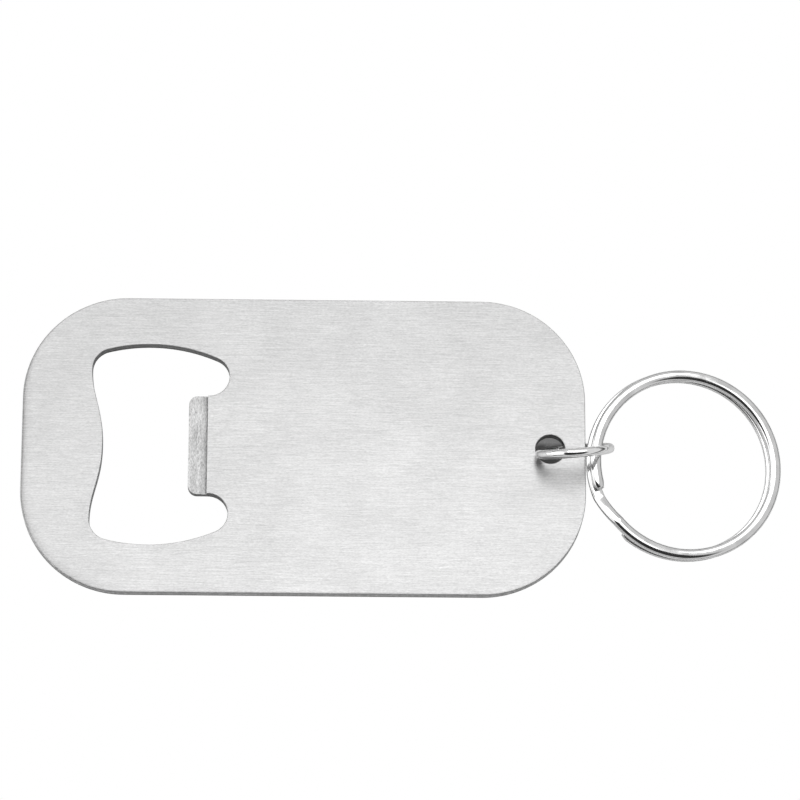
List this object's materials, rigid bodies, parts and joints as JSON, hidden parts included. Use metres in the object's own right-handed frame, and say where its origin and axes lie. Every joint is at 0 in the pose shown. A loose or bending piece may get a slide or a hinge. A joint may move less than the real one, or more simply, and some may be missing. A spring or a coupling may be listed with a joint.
{
  "type": "keychain bottle opener",
  "caption": "Flat steel bottle opener with a crown-cap opening, a coined lifting lip, and a key ring hung from its end by a jump ring.",
  "frame": {"origin": "middle of the plate's underside", "axes": "+X along the plate to the key-ring end, +Y across the plate, +Z out of the brushed front face"},
  "size_m": [0.108, 0.0432, 0.0108],
  "materials": {
    "opener_plate": "brushed along the length, tumbled edges",
    "jump_ring": "polished wire",
    "split_ring": "polished nickel plate"
  },
  "bodies": {
    "plate": {"opener_plate": "opener_plate"},
    "jump_link": {"jump_ring": "jump_ring"},
    "key_ring": {"split_ring": "split_ring"}
  },
  "joints": [
    {"name": "jump_ring_turn", "type": "hinge", "parent": "plate", "child": "jump_link", "pos_m": [0.03835, -0.00098, 0.0036], "axis": [0.0945, -0.9469, -0.3074], "range_deg": [0, 90]},
    {"name": "key_ring_flap", "type": "hinge", "parent": "jump_link", "child": "key_ring", "pos_m": [0.04118, -0.00041, 0.00302], "axis": [-0.1478, -0.989, 0], "range_deg": [0, 75]}
  ]
}
